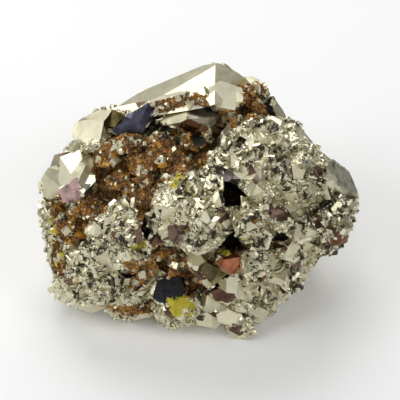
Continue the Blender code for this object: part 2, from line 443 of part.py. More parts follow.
def add_object(body, name, collection):
    bmesh.ops.triangulate(body, faces=body.faces)
    bmesh.ops.recalc_face_normals(body, faces=body.faces)
    bmesh.ops.scale(body, vec=(mm, mm, mm), verts=body.verts)
    mesh = bpy.data.meshes.new(name)
    body.to_mesh(mesh)
    body.free()
    thing = bpy.data.objects.new(name, mesh)
    collection.objects.link(thing)
    return thing


def front_of(tree, across, down):
    """Where the line of sight through this spot of the layout meets the surface, and the surface's normal."""
    start = place(across, down, nearEnd)
    spot, normal, _, _ = tree.ray_cast(start, (place(across, down, nearEnd - 1) - start).normalized())
    return spot, normal


def hero(name, back, outline, faces, collection, rng):
    """A crystal that fills its outline from the front, flares a little backwards and has flat front faces."""
    centre = Vector((sum(p[0] for p in outline), sum(p[1] for p in outline))) / len(outline)
    points = []
    for x, y in outline:
        points.append(place(x, y, nearEnd))
        corner = Vector((x, y))
        if room_inside(corner) < rimWidth:
            points.append(place(x, y, back * 0.35))
            points.append(place(*corner.lerp(Vector((middle, middle)), rimTaper), back))
        else:
            points.append(place(*centre.lerp(corner, flare), back))
    body = hull(points)
    for corners in faces:
        first, second, third = (place(*corner) for corner in corners)
        outwards = (second - first).cross(third - first).normalized()
        if outwards.dot(towardsEye) < 0:
            outwards = -outwards
        slice_off(body, first, outwards)
    cuts = 2 if name in clearCrystals else 5
    for _ in range(cuts):
        side = rng.randrange(len(outline))
        along = rng.uniform(0.2, 0.8)
        edge = Vector(outline[side]).lerp(Vector(outline[(side + 1) % len(outline)]), along)
        inset = centre.lerp(edge, rng.uniform(0.7, 0.9))
        spot, _ = front_of(BVHTree.FromBMesh(body), *inset)
        if spot is None:
            continue
        outward = (place(edge.x, edge.y, 0) - place(centre.x, centre.y, 0)).normalized()
        lean = math.radians(rng.uniform(28, 58))
        slice_off(body, spot, outward * math.sin(lean) + towardsEye * math.cos(lean))
    return add_object(body, name, collection)


def grown_crystal(size, habit, rng):
    """A loose crystal at the origin: a cube, a twelve-sided pyrite crystal, or a broken block."""
    body = bmesh.new()
    bmesh.ops.create_cube(body, size=size)
    if habit == "pyritohedron":
        for axis in range(3):
            for one in (1, -1):
                for two in (1, -1):
                    normal = Vector((0, 0, 0))
                    normal[axis] = one
                    normal[(axis + 1) % 3] = two * 0.5
                    normal.normalize()
                    slice_off(body, normal * size * 0.47, normal)
    elif habit == "block":
        for _ in range(6):
            normal = Vector((rng.gauss(0, 1), rng.gauss(0, 1), rng.gauss(0, 1))).normalized()
            slice_off(body, normal * size * rng.uniform(0.34, 0.46), normal)
    else:
        corner = Vector((1, rng.choice((1, -1)), 1)).normalized()
        slice_off(body, corner * size * 0.66, corner)
    return body


def set_crystal(size, habit, spot, sink, name, collection, rng):
    body = grown_crystal(size, habit, rng)
    turn = Euler([rng.uniform(0, math.tau) for _ in range(3)]).to_matrix().to_4x4()
    bmesh.ops.transform(body, matrix=Matrix.Translation(spot - sink) @ turn, verts=body.verts)
    return add_object(body, name, collection)


def layout_spot(point):
    """A point's place across and down the layout."""
    near = point.dot(towardsEye)
    grow = eyeDistance / (eyeDistance - near)
    up = Vector((0, math.sin(viewTilt), math.cos(viewTilt)))
    return Vector((middle + point.x * unitsPerMm * grow, middle - point.dot(up) * unitsPerMm * grow))


def room_inside(spot):
    """How many units a spot of the layout lies inside the rim."""
    room = 1e9
    inside = False
    for step, corner in enumerate(rim):
        one = Vector(corner)
        two = Vector(rim[(step + 1) % len(rim)])
        along = max(0, min(1, (spot - one).dot(two - one) / (two - one).length_squared))
        room = min(room, (spot - one.lerp(two, along)).length)
        if (one.y > spot.y) != (two.y > spot.y):
            if spot.x < one.x + (spot.y - one.y) / (two.y - one.y) * (two.x - one.x):
                inside = not inside
    return room if inside else -room


def scatter_behind(core, collection, rng):
    """Crystals over the back, the sides and under the overhang, half sunk in the body."""
    tree = BVHTree.FromBMesh(core)
    done = []
    for _ in range(4000):
        out = Vector((rng.gauss(0, 1), rng.gauss(0, 1), rng.gauss(0, 0.8))).normalized()
        spot, normal, _, _ = tree.ray_cast(out * 80 + Vector((0, 2, -2)), -out)
        if spot is None or normal.dot(towardsEye) > 0.05 or spot.z < baseHeight + 2.5:
            continue
        size = rng.choice((4.5, 6, 7.5, 9, 11))
        if any((spot - other).length < (size + reach) * 0.34 for other, reach in done):
            continue
        if room_inside(layout_spot(spot - normal * size * 0.2)) < size * 0.62 * unitsPerMm:
            continue
        habit = rng.choice(("cube", "pyritohedron", "block", "block", "pyritohedron"))
        set_crystal(size, habit, spot, normal * size * 0.2, f"grown{len(done):03d}", collection, rng)
        done.append((spot, size))
        if len(done) == backCount:
            break


def scatter_front(tree, collection, rng):
    """Rubble and small crystals in the zones of the front, each sunk a third of its size."""
    for zone, (centre, radii, count, sizes, habit) in enumerate(zones):
        done = []
        for _ in range(count * 12):
            angle = rng.uniform(0, math.tau)
            reach = math.sqrt(rng.random())
            across = centre[0] + math.cos(angle) * reach * radii[0]
            down = centre[1] + math.sin(angle) * reach * radii[1]
            size = rng.uniform(*sizes)
            spot, normal = front_of(tree, across, down)
            if spot is None or room_inside(Vector((across, down))) < size * 0.4 * unitsPerMm:
                continue
            if any((spot - other).length < (size + width) * 0.36 for other, width in done):
                continue
            set_crystal(size, habit, spot, normal * size * 0.2, f"front{zone:02d}_{len(done):02d}", collection, rng)
            done.append((spot, size))
            if len(done) == count:
                break


def pit(outline, floor, lean, rng, collection):
    """An angular hole that narrows as it goes in and leans to one side."""
    centre = Vector((sum(p[0] for p in outline), sum(p[1] for p in outline))) / len(outline)
    lean = Vector(lean)
    points = []
    for corner in outline:
        out = Vector(corner) - centre
        points.append(place(*(centre + out * 1.3 - lean), nearEnd))
        points.append(place(*(centre + out * rng.uniform(0.4, 0.7) + lean), floor + rng.uniform(-1.5, 1.5)))
    return add_object(hull(points), "pit", collection)


def fill_hollows(body):
    """Keeps the outer shell alone, so that no gap is left shut in between the pieces."""
    left = set(body.verts)
    shells = []
    while left:
        shell = set()
        fresh = {left.pop()}
        while fresh:
            shell |= fresh
            fresh = {edge.other_vert(v) for v in fresh for edge in v.link_edges} - shell
        left -= shell
        shells.append(shell)
    shells.sort(key=len)
    inner = [v for shell in shells[:-1] for v in shell]
    bmesh.ops.delete(body, geom=inner, context="VERTS")


def hide_helpers(collection):
    for thing in collection.objects:
        thing.hide_render = True
        thing.display_type = "WIRE"


def boolean(body, collection, operation):
    modifier = body.modifiers.new(operation, "BOOLEAN")
    modifier.operation = operation
    modifier.solver = "EXACT"
    modifier.operand_type = "COLLECTION"
    modifier.collection = collection
    bpy.context.view_layer.objects.active = body
    bpy.ops.object.modifier_apply(modifier=modifier.name)


def pyrite():
    material = bpy.data.materials.new("pyrite")
    material.use_nodes = True
    shader = material.node_tree.nodes["Principled BSDF"]
    shader.inputs["Base Color"].default_value = (0.66, 0.61, 0.46, 1)
    shader.inputs["Metallic"].default_value = 1
    shader.inputs["Roughness"].default_value = 0.3
    return material


def main():
    for thing in list(bpy.data.objects):
        bpy.data.objects.remove(thing)
    specimen = bpy.data.collections.new("pyrite_specimen")
    grown = bpy.data.collections.new("crystals_and_lumps")
    rubble = bpy.data.collections.new("rubble")
    cutters = bpy.data.collections.new("cutters")
    for collection in (specimen, grown, rubble, cutters):
        bpy.context.scene.collection.children.link(collection)
    rng = random.Random(seed)

    core = hull([place(*point) for point in coreFront] + [Vector(point) for point in coreBack])
    scatter_behind(core, grown, rng)
    body = add_object(core, "pyrite_cluster", specimen)
    for name, back, outline, faces in heroes:
        hero(name, back, outline, faces, grown, rng)
    hide_helpers(grown)
    boolean(body, grown, "UNION")

    joined = bmesh.new()
    joined.from_mesh(body.data)
    bmesh.ops.scale(joined, vec=(1 / mm, 1 / mm, 1 / mm), verts=joined.verts)
    scatter_front(BVHTree.FromBMesh(joined), rubble, rng)
    joined.free()
    hide_helpers(rubble)
    boolean(body, rubble, "UNION")
    for outline, floor, lean in holes:
        pit(outline, floor, lean, rng, cutters)
    hide_helpers(cutters)
    boolean(body, cutters, "DIFFERENCE")

    whole = bmesh.new()
    whole.from_mesh(body.data)
    slice_off(whole, Vector((0, 0, baseHeight * mm)), Vector((0, 0, -1)))
    fill_hollows(whole)
    bmesh.ops.triangulate(whole, faces=whole.faces)
    whole.to_mesh(body.data)
    thin = body.modifiers.new("fewer triangles", "DECIMATE")
    thin.ratio = triangles / len(body.data.polygons)
    bpy.ops.object.modifier_apply(modifier=thin.name)

    low = Vector([min(v.co[i] for v in body.data.vertices) for i in range(3)])
    high = Vector([max(v.co[i] for v in body.data.vertices) for i in range(3)])
    centre = (low + high) / 2
    for vertex in body.data.vertices:
        vertex.co -= Vector((centre.x, centre.y, baseHeight * mm))
        if vertex.co.z < flatWithin * mm:
            vertex.co.z = 0
    body.data.materials.clear()
    body.data.materials.append(pyrite())
    body["moved"] = (-centre.x, -centre.y, -baseHeight * mm)
    print("moved", body["moved"][0] / mm, body["moved"][1] / mm, body["moved"][2] / mm)


main()
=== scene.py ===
import bpy
import bmesh
import math
import numpy as np
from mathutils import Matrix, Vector
from mathutils.bvhtree import BVHTree
from mathutils.kdtree import KDTree


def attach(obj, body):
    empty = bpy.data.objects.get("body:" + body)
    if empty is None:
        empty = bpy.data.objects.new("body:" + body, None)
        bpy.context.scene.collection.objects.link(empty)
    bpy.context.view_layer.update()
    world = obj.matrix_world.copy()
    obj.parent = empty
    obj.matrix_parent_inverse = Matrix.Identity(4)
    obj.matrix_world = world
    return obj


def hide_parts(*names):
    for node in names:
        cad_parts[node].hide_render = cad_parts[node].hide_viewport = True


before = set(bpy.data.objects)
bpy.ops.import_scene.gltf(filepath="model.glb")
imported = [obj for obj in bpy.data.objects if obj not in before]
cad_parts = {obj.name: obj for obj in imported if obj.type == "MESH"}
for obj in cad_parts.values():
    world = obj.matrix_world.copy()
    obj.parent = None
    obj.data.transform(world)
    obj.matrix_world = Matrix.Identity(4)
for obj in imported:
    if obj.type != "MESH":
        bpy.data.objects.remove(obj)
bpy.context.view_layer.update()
bpy.ops.object.select_all(action="DESELECT")
print("specimen frame loaded")

# the front is laid out as it is seen from the camera: units across, units down, and how near in metres
view = {
    "tilt": math.radians(45),
    "distance": 0.334,
    "unitsPerMetre": 4500,
    "middle": 200,
    "aim": Vector((-0.0000244, -0.0026822, 0.0216)),
    "lens": 135.3,
}
toEye = np.array((0, -math.cos(view["tilt"]), math.sin(view["tilt"])))
upwards = np.array((0, math.sin(view["tilt"]), math.cos(view["tilt"])))


def layoutOf(points):
    local = points - np.array(view["aim"])
    near = local @ toEye
    grow = view["distance"] / (view["distance"] - near) * view["unitsPerMetre"]
    across = view["middle"] + local[:, 0] * grow
    down = view["middle"] - local @ upwards * grow
    return np.stack((across, down), axis=1)


def depthInside(spots, outline):
    # units inside the outline, negative outside
    corners = np.array(outline, float)
    depth = np.full(len(spots), -8.0)
    close = np.flatnonzero((np.abs(spots - (corners.min(0) + corners.max(0)) / 2) < np.ptp(corners, 0) / 2 + 8).all(1))
    spots = spots[close]
    best = np.full(len(spots), 8.0)
    inside = np.zeros(len(spots), bool)
    for one, two in zip(corners, np.roll(corners, -1, axis=0)):
        side = two - one
        along = np.clip(((spots - one) @ side) / (side @ side), 0, 1)
        best = np.minimum(best, np.linalg.norm(spots - one - along[:, None] * side, axis=1))
        crosses = (one[1] > spots[:, 1]) != (two[1] > spots[:, 1])
        if side[1]:
            inside ^= crosses & (spots[:, 0] < one[0] + (spots[:, 1] - one[1]) / side[1] * side[0])
    depth[close] = np.where(inside, best, -best)
    return depth


def zoneMask(spots, outlines, soft):
    mask = np.zeros(len(spots))
    for outline in outlines:
        mask = np.maximum(mask, np.clip(depthInside(spots, outline) / soft + 0.5, 0, 1))
    return mask


# where the rusty limonite lies on the front
rustZones = (
    ((156, 101), (176, 97), (200, 94), (206, 98), (206, 106), (180, 106), (160, 112)),
    ((206, 106), (214, 110), (232, 111), (243, 102), (243, 84), (262, 84), (268, 92), (262, 101), (272, 113),
     (262, 119), (246, 118), (232, 124), (224, 118)),
    ((180, 127), (206, 131), (217, 142), (229, 132), (232, 122), (247, 118), (236, 128), (214, 144), (206, 154),
     (206, 164), (190, 172), (170, 177), (154, 188), (150, 226), (142, 228), (134, 204), (122, 198), (106, 210),
     (90, 221), (84, 205), (95, 192), (92, 172), (90, 154), (104, 146), (112, 136), (140, 132), (150, 140),
     (166, 128)),
    ((47, 199), (60, 200), (76, 200), (94, 192), (100, 206), (88, 222), (84, 238), (74, 246), (58, 238), (54, 218)),
    ((56, 236), (64, 252), (68, 270), (56, 278), (52, 262)),
    ((152, 246), (166, 244), (180, 250), (190, 262), (196, 275), (206, 284), (202, 298), (186, 297), (184, 278),
     (166, 272), (150, 268)),
    ((124, 262), (150, 262), (152, 276), (140, 290), (128, 288), (134, 276)),
    ((108, 306), (150, 307), (150, 313), (120, 315)),
    ((206, 262), (218, 264), (229, 273), (216, 278)),
)

# crystals whose faces are clean and flat
cleanZones = (
    ((113, 107), (122, 99), (142, 84), (165, 77), (190, 69), (205, 65), (218, 63), (243, 76), (243, 88), (220, 82),
     (205, 94), (176, 96), (156, 101), (135, 111)),
    ((70, 131), (74, 124), (84, 117), (100, 110), (116, 108), (112, 122), (105, 137), (95, 141), (76, 141)),
    ((110, 131), (119, 121), (130, 114), (148, 104), (154, 110), (150, 121), (141, 132), (122, 135)),
    ((161, 121), (172, 110), (186, 105), (212, 107), (222, 119), (208, 129), (180, 127)),
    ((205, 97), (211, 89), (220, 82), (242, 88), (243, 102), (232, 111), (214, 110)),
    ((239, 79), (247, 72), (254, 70), (261, 75), (266, 88), (256, 84), (245, 86)),
    ((262, 102), (270, 99), (276, 116), (267, 112)),
    ((264, 118), (272, 116), (283, 117), (290, 123), (281, 129), (270, 126)),
    ((41, 180), (48, 168), (57, 166), (63, 176), (62, 192), (56, 200), (43, 197)),
    ((60, 157), (77, 150), (93, 156), (95, 172), (96, 190), (87, 197), (74, 204), (60, 198)),
    ((326, 166), (333, 159), (342, 168), (349, 171), (354, 182), (360, 200), (352, 205), (340, 194), (329, 190)),
    ((216, 262), (228, 254), (237, 251), (242, 262), (241, 268), (231, 275), (222, 270)),
    ((198, 269), (208, 260), (228, 272), (213, 285)),
    ((153, 296), (158, 282), (165, 275), (176, 274), (185, 279), (186, 292), (173, 303), (164, 305), (156, 301)),
    ((250, 169), (262, 169), (263, 190), (258, 202), (252, 198)),
    ((219, 172), (232, 171), (240, 180), (236, 187), (222, 186)),
    ((282, 160), (291, 158), (296, 164), (291, 176), (284, 173)),
    ((303, 188), (313, 178), (320, 180), (315, 193), (307, 198)),
    ((200, 299), (214, 294), (228, 299), (225, 309), (206, 312)),
    ((217, 309), (232, 307), (240, 320), (230, 326), (218, 321)),
    ((186, 255), (196, 250), (204, 261), (198, 270), (188, 266)),
    ((189, 269), (197, 266), (212, 283), (207, 287)),
    ((87, 226), (96, 222), (103, 229), (100, 240), (90, 240)),
)
holes = (
    ((216, 184), (224, 179), (236, 183), (252, 201), (238, 210), (221, 206)),
    ((218, 247), (224, 237), (234, 229), (243, 238), (241, 251), (228, 253)),
)

# yellow-green dust that only colours the faces
dustZones = (
    ((166, 178), (178, 174), (192, 176), (190, 192), (172, 196)),
    ((217, 248), (231, 248), (233, 256), (219, 257)),
    ((165, 297), (184, 294), (197, 304), (195, 318), (172, 319)),
    ((238, 231), (247, 232), (247, 241), (239, 241)),
    ((126, 243), (146, 240), (150, 250), (132, 253)),
    ((48, 216), (56, 216), (60, 250), (66, 270), (54, 268)),
)

# single crystal faces painted with the colours reflected in them, as painted reflections: outline, colour, roughness
paintedReflections = {
    "violet": (cleanZones[2], (0.085, 0.083, 0.120), 0.5),
    "slate": (cleanZones[13], (0.036, 0.036, 0.043), 0.34),
    "copper": (cleanZones[11], (0.36, 0.14, 0.075), 0.34),
    "black": (cleanZones[6], (0.02, 0.02, 0.022), 0.35),
    "olive": (cleanZones[12], (0.20, 0.16, 0.09), 0.4),
    "gemRight": (((190, 106), (213, 107), (220, 117), (208, 128), (188, 117)), (0.36, 0.33, 0.27), 0.3),
    "gemUnder": (((179, 127), (188, 118), (208, 129), (196, 136)), (0.12, 0.06, 0.03), 0.5),
    "gemWedge": (((209, 129), (221, 118), (230, 131), (218, 142)), (0.10, 0.06, 0.025), 0.5),
    "pink": (((60, 190), (77, 179), (81, 197), (73, 204), (63, 201)), (0.50, 0.34, 0.32), 0.35),
    "purpleGrey": (cleanZones[15], (0.26, 0.22, 0.21), 0.3),
    "rightEdge": (((332, 162), (348, 172), (354, 184), (359, 199), (350, 203), (338, 184)), (0.34, 0.33, 0.24), 0.35),
    "brownPlate": (((269, 208), (282, 206), (286, 213), (278, 220), (270, 218)), (0.22, 0.14, 0.11), 0.35),
    "brownWedge": (((326, 246), (337, 232), (349, 237), (345, 243), (333, 248)), (0.16, 0.08, 0.05), 0.4),
    "brownFoot": (((211, 291), (222, 290), (237, 296), (229, 303), (216, 300)), (0.16, 0.09, 0.06), 0.4),
    "brownBoulder": (((168, 226), (182, 226), (185, 238), (176, 244), (169, 238)), (0.22, 0.15, 0.12), 0.35),
    "brownLeft": (((129, 228), (148, 228), (151, 236), (138, 243)), (0.16, 0.10, 0.07), 0.4),
    "brownLeftTwo": (((148, 236), (160, 234), (163, 243), (152, 247)), (0.18, 0.10, 0.07), 0.4),
    "brownStrip": (((310, 167), (318, 166), (326, 181), (321, 189), (313, 179)), (0.20, 0.13, 0.10), 0.35),
    "oliveWedge": (((112, 110), (125, 114), (123, 121), (107, 131), (104, 124)), (0.10, 0.08, 0.03), 0.5),
    "smallDark": (((82, 185), (93, 186), (94, 192), (86, 197)), (0.10, 0.09, 0.08), 0.3),
    "underGem": (((189, 136), (200, 133), (206, 142), (197, 149)), (0.03, 0.03, 0.025), 0.4),
}
plainZones = cleanZones + tuple(outline for outline, colour, rough in paintedReflections.values())

# surface
body = {
    "coarseEdge": 0.0016,
    "frontEdge": 0.00036,
    "backEdge": 0.0008,
    "plainEdge": 0.0012,
    "plainArea": 5,            # square millimetres: a flat face larger than this stays clean at the back and sides
    "flatTurn": math.radians(5),
    "plateArea": (0.9, 12),    # the flat faces of the rubble that may stay plates at the front
    "plates": 0.5,
    "brownReflectionPlates": 0.06,
    "cells": (0.0034, 0.0016, 0.0008),
    "slopes": (0.22, 0.26, 0.40),
    "crumpleSize": 0.0026,
    "grain": ((1.0, 0.3, 0.2), (-0.4, 0.3, 1.0), (0.2, 1.0, -0.5)),  # the way the broken flakes run
    "longer": 1.8,
    "mostFaces": 180000,
    "rays": 14,
    "reach": 0.006,
}


def cellSteps(points, size, seed, grain, longer):
    # how high a point lies on the tilted broken facet of its own cell
    rng = np.random.default_rng(seed)
    grain = np.array(grain) / np.linalg.norm(grain)
    points = points - np.outer(points @ grain, grain) * (1 - 1 / longer)
    warp = np.stack([smoothNoise(points, size * 1.3, seed + 40 + axis) for axis in range(3)], axis=1)
    points = points + (warp - 0.5) * size * 0.9
    side = 64
    jitter = rng.random((side, side, side, 3))
    tilt = rng.normal(size=(side, side, side, 3))
    tilt /= np.linalg.norm(tilt, axis=3, keepdims=True)
    base = np.floor(points / size).astype(int)
    best = np.full(len(points), 1e9)
    height = np.zeros(len(points))
    for dx in (-1, 0, 1):
        for dy in (-1, 0, 1):
            for dz in (-1, 0, 1):
                cell = base + (dx, dy, dz)
                index = tuple((cell % side).T)
                offset = points - (cell + jitter[index]) * size
                distance = np.linalg.norm(offset, axis=1)
                closer = distance < best
                best[closer] = distance[closer]
                height[closer] = np.einsum("ij,ij->i", offset, tilt[index])[closer]
    return height


def smoothNoise(points, size, seed):
    # soft values from 0 to 1 that change over this size
    rng = np.random.default_rng(seed)
    side = 32
    table = rng.random((side, side, side))
    base = np.floor(points / size).astype(int)
    part = points / size - base
    part = part * part * (3 - 2 * part)
    value = np.zeros(len(points))
    for corner in np.ndindex(2, 2, 2):
        share = np.prod(np.where(corner, part, 1 - part), axis=1)
        value += share * table[tuple(((base + corner) % side).T)]
    return value


def faceArrays(mesh):
    count = len(mesh.polygons)
    centres = np.empty(count * 3)
    mesh.polygons.foreach_get("center", centres)
    normals = np.empty(count * 3)
    mesh.polygons.foreach_get("normal", normals)
    areas = np.empty(count)
    mesh.polygons.foreach_get("area", areas)
    corners = np.empty(count * 3, int)
    mesh.polygons.foreach_get("vertices", corners)
    return centres.reshape(-1, 3), normals.reshape(-1, 3), areas, corners.reshape(-1, 3)


def markFaces(mesh):
    # for each face the area of its flat region, how far it faces the eye, and one chance for the region
    rng = np.random.default_rng(6)
    marks = np.zeros((3, len(mesh.faces)))
    done = set()
    mesh.faces.ensure_lookup_table()
    for first in mesh.faces:
        if first in done:
            continue
        done.add(first)
        region = [first]
        for face in region:
            for edge in face.edges:
                for other in edge.link_faces:
                    if other not in done and other.normal.angle(first.normal, 9) < body["flatTurn"]:
                        done.add(other)
                        region.append(other)
        members = [face.index for face in region]
        marks[0, members] = sum(face.calc_area() for face in region) * 1e6
        marks[1, members] = [face.normal.dot(Vector(toEye)) for face in region]
        marks[2, members] = rng.random()
    return marks


def plainShare(centres, marks, normals):
    regions, facing, chance = marks
    spots = layoutOf(centres)
    front = zoneMask(spots, plainZones, 1) > 0.5
    plate = (regions > body["plateArea"][0]) & (regions < body["plateArea"][1]) & (chance < body["plates"])
    front |= plate & (zoneMask(spots, rustZones + holes, 1) < 0.5)
    back = (facing <= 0.1) & (regions > body["plainArea"])
    under = (normals[:, 2] < -0.99) & (centres[:, 2] < 0.0005)
    return front & (facing > 0.1) | back | under


def refine(points, faces, marks, turns, longestOf):
    # halves every side that is longer than its faces ask for, over and over
    for turn in range(turns):
        sides = faces[:, [[0, 1], [1, 2], [2, 0]]]
        edges, own = np.unique(np.sort(sides.reshape(-1, 2), axis=1), axis=0, return_inverse=True)
        own = own.reshape(-1, 3)
        middles = points[edges].mean(axis=1)
        normals = np.cross(points[faces[:, 1]] - points[faces[:, 0]], points[faces[:, 2]] - points[faces[:, 0]])
        normals /= np.linalg.norm(normals, axis=1, keepdims=True) + 1e-20
        longest = np.full(len(edges), 1.0)
        for side in range(3):
            np.minimum.at(longest, own[:, side], longestOf(middles[own[:, side]], marks, normals))
        split = np.linalg.norm(points[edges[:, 0]] - points[edges[:, 1]], axis=1) > longest * 1.4
        if not split.any() or len(faces) > body["mostFaces"]:
            break
        fresh = np.full(len(edges), -1)
        fresh[split] = len(points) + np.arange(split.sum())
        points = np.concatenate((points, middles[split]))
        added = fresh[own]
        count = (added >= 0).sum(axis=1)
        # each face is turned so that its whole side, or its only split one, comes where it is wanted
        turned = np.where(count == 1, np.argmax(added >= 0, axis=1), (np.argmin(added >= 0, axis=1) + 1) % 3)
        turned = (turned[:, None] + np.arange(3)) % 3
        a, b, c = np.take_along_axis(faces, turned, axis=1).T
        p, q, r = np.take_along_axis(added, turned, axis=1).T
        pieces, kept = [], []
        for number, triangles in (
            (0, ((a, b, c),)),
            (1, ((a, p, c), (p, b, c))),
            (2, ((p, b, q), (a, p, q), (a, q, c))),
            (3, ((a, p, r), (p, b, q), (r, q, c), (p, q, r))),
        ):
            mine = np.flatnonzero(count == number)
            for triangle in triangles:
                pieces.append(np.stack([corner[mine] for corner in triangle], axis=1))
                kept.append(mine)
        faces = np.concatenate(pieces)
        marks = marks[:, np.concatenate(kept)]
    print("surface refined to", len(faces))
    return points, faces, marks


def fineEdges(middles, marks, normals):
    longest = np.where(marks[1] > -0.15, body["frontEdge"], body["backEdge"])
    return np.where(plainShare(middles, marks, normals), body["plainEdge"], longest)


def openSky(points, faces, normals):
    # the share of the sky that each point sees, which is small in cracks and pockets; the painted shade is darker
    # where it is small
    rng = np.random.default_rng(3)
    around = [Vector(one).normalized() * 0.95 for one in rng.normal(size=(body["rays"], 3))]
    tree = BVHTree.FromPolygons(points.tolist(), faces.tolist())
    sky = np.zeros(len(points))
    for index, (point, normal) in enumerate(zip(points, normals)):
        up = Vector(normal)
        start = Vector(point) + up * 0.0001
        free = [tree.ray_cast(start, up + way, body["reach"])[0] is None for way in around]
        sky[index] = sum(free) / len(free)
    return sky


def pointNormals(points, faces):
    turned = np.cross(points[faces[:, 1]] - points[faces[:, 0]], points[faces[:, 2]] - points[faces[:, 0]])
    normals = np.zeros(points.shape)
    for corner in range(3):
        np.add.at(normals, faces[:, corner], turned)
    return normals / (np.linalg.norm(normals, axis=1, keepdims=True) + 1e-20)


def newPiece(name, points, faces):
    mesh = bpy.data.meshes.new(name)
    mesh.from_pydata(points.tolist(), [], faces.tolist())
    thing = bpy.data.objects.new(name, mesh)
    bpy.context.scene.collection.objects.link(thing)
    print(name, len(mesh.polygons))
    return thing


def buildSurface():
    mesh = bmesh.new()
    mesh.from_mesh(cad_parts["pyrite_cluster"].data)
    bmesh.ops.remove_doubles(mesh, verts=mesh.verts, dist=1e-7)
    marks = markFaces(mesh)
    points = np.array([vertex.co for vertex in mesh.verts])
    faces = np.array([[vertex.index for vertex in face.verts] for face in mesh.faces])
    mesh.free()
    points, faces, marks = refine(points, faces, marks, 4, lambda middles, *rest: body["coarseEdge"])
    coarse = len(points)
    sky = openSky(points, faces, pointNormals(points, faces))
    tree = KDTree(coarse)
    for index, point in enumerate(points):
        tree.insert(point, index)
    tree.balance()
    points, faces, marks = refine(points, faces, marks, 8, fineEdges)
    nearest = [tree.find_n(point, 3) for point in points[coarse:]]
    sky = np.concatenate((sky, [np.mean([sky[index] for _, index, _ in found]) for found in nearest]))
    normals = pointNormals(points, faces)
    centres = points[faces].mean(axis=1)
    turned = np.cross(points[faces[:, 1]] - points[faces[:, 0]], points[faces[:, 2]] - points[faces[:, 0]])
    plain = plainShare(centres, marks, turned / (np.linalg.norm(turned, axis=1, keepdims=True) + 1e-20))
    rough = np.ones(len(points))
    rough[faces[plain].ravel()] = 0
    crumple = np.clip((smoothNoise(points, body["crumpleSize"], 17) - 0.40) * 7, 0.15, 1)
    steps = [cellSteps(points, size, 5 + step, grain, body["longer"]) * slope
             for step, (size, slope, grain) in enumerate(zip(body["cells"], body["slopes"], body["grain"]))]
    lift = (steps[0] + steps[1] + steps[2] * crumple) * rough
    # painted shade on the sunken parts of the broken facets, where their cells step down
    lowShade = np.clip(0.45 - (steps[1] + steps[2] * crumple) / 0.0006, 0, 1) * rough
    foot = points[:, 2] < 0.0004
    points = points + normals * (lift * ~foot)[:, None]
    points[:, 2] = np.where(foot, np.minimum(points[:, 2], 0), np.maximum(points[:, 2], 0.0001))
    thing = newPiece("pyrite_surface", points, faces)
    return thing, plain, marks, [value[faces].mean(axis=1) for value in (sky, lowShade, crumple)]


surface, plain, marks, (sky, lowShade, crumple) = buildSurface()
regions, facing, chance = marks
centres, normals, areas, corners = faceArrays(surface.data)
points = np.array([vertex.co for vertex in surface.data.vertices])
spots = layoutOf(centres)
print("surface", len(corners), "open sky", np.percentile(sky[(facing > 0) & ~plain], (5, 25, 50, 75, 95)))


# how much rust, painted shade and dust each face of the surface carries
def rustShare():
    front = zoneMask(spots, rustZones, 5) * np.clip(facing * 4 + 1.2, 0, 1)
    patches = smoothNoise(centres, 0.007, 21)
    behind = np.clip((0.62 - sky) * 4, 0, 1) * np.clip((patches - 0.45) * 6, 0, 1) * (facing < 0.05)
    return np.where(plain, 0, np.maximum(front, behind))


rust = rustShare()
hollow = zoneMask(spots, holes, 4) * (facing > -0.3)
# painted shade: darker where little sky is open and in the sunken parts of the broken facets
paintedShade = np.clip(0.75 - sky, 0, 1) + lowShade * (0.25 + 0.4 * crumple)
dust = zoneMask(spots, dustZones, 5) * (facing > 0)


def paint(thing, paintedLight, rustShadeToneDust):
    # one colour of painted reflection and painted shade, and one set of rust, painted shade, tone and dust for each
    # face, kept on its corners
    breaks = np.repeat(crumple[:, None], 4, axis=1)
    for name, values in (("paintedLight", paintedLight), ("rustShadeToneDust", rustShadeToneDust), ("breaks", breaks)):
        layer = thing.data.color_attributes.new(name, "FLOAT_COLOR", "CORNER")
        layer.data.foreach_set("color", np.repeat(values, 3, axis=0).astype(np.float32).ravel())


def paintSurface():
    paintedLight = np.zeros((len(corners), 4))
    rng = np.random.default_rng(8)
    tone = np.where(plain, chance * 7 % 1, rng.random(len(corners)))
    rustShadeToneDust = np.stack((rust, paintedShade * ~plain, tone, dust), axis=1)
    # painted brown reflections on a random share of the plates that face the front
    brown = plain & (chance < body["brownReflectionPlates"]) & (facing > 0.1)
    paintedLight[brown] = (0.17, 0.10, 0.075, 1)
    # painted reflections: each listed crystal face takes the colour reflected in it, and no rust
    for outline, colour, rough in paintedReflections.values():
        inside = (depthInside(spots, outline) > -0.5) & (facing > 0.1)
        paintedLight[inside] = (*colour, 1)
        rustShadeToneDust[inside, 0] = 0
    # painted shade: faces far down in the two holes, with little open sky, are coloured almost black
    inside = (hollow > 0.5) & (sky < 0.4)
    paintedLight[inside] = (0.012, 0.010, 0.008, 1)
    paint(surface, paintedLight, rustShadeToneDust)
    surface.data.polygons.foreach_set("material_index", np.where(plain, 1, 0).astype(np.int32))


paintSurface()
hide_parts("pyrite_cluster")
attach(surface, "root")

# chips of broken pyrite, small crystals and rust grains
chip = {
    "shapes": 10,
    "cuts": 6,
    "front": 2400,
    "back": 4500,
    "frontSizes": (0.0006, 0.0024),
    "backSizes": (0.0008, 0.0034),
    "sunk": 0.25,
    "lean": 0.32,
    "flat": 0.5,
}
crystal = {"count": 420, "sizes": (0.0007, 0.0019), "sunk": 0.1, "lean": 0.9}
grain = {"shapes": 4, "front": 5500, "back": 2600, "sizes": (0.00022, 0.00075), "sunk": 0.1, "lean": 1.5}


def startCube(name):
    bpy.ops.object.select_all(action="DESELECT")
    bpy.ops.mesh.primitive_cube_add(size=1)
    bpy.context.object.name = name
    bpy.ops.object.mode_set(mode="EDIT")
    return bpy.context.object


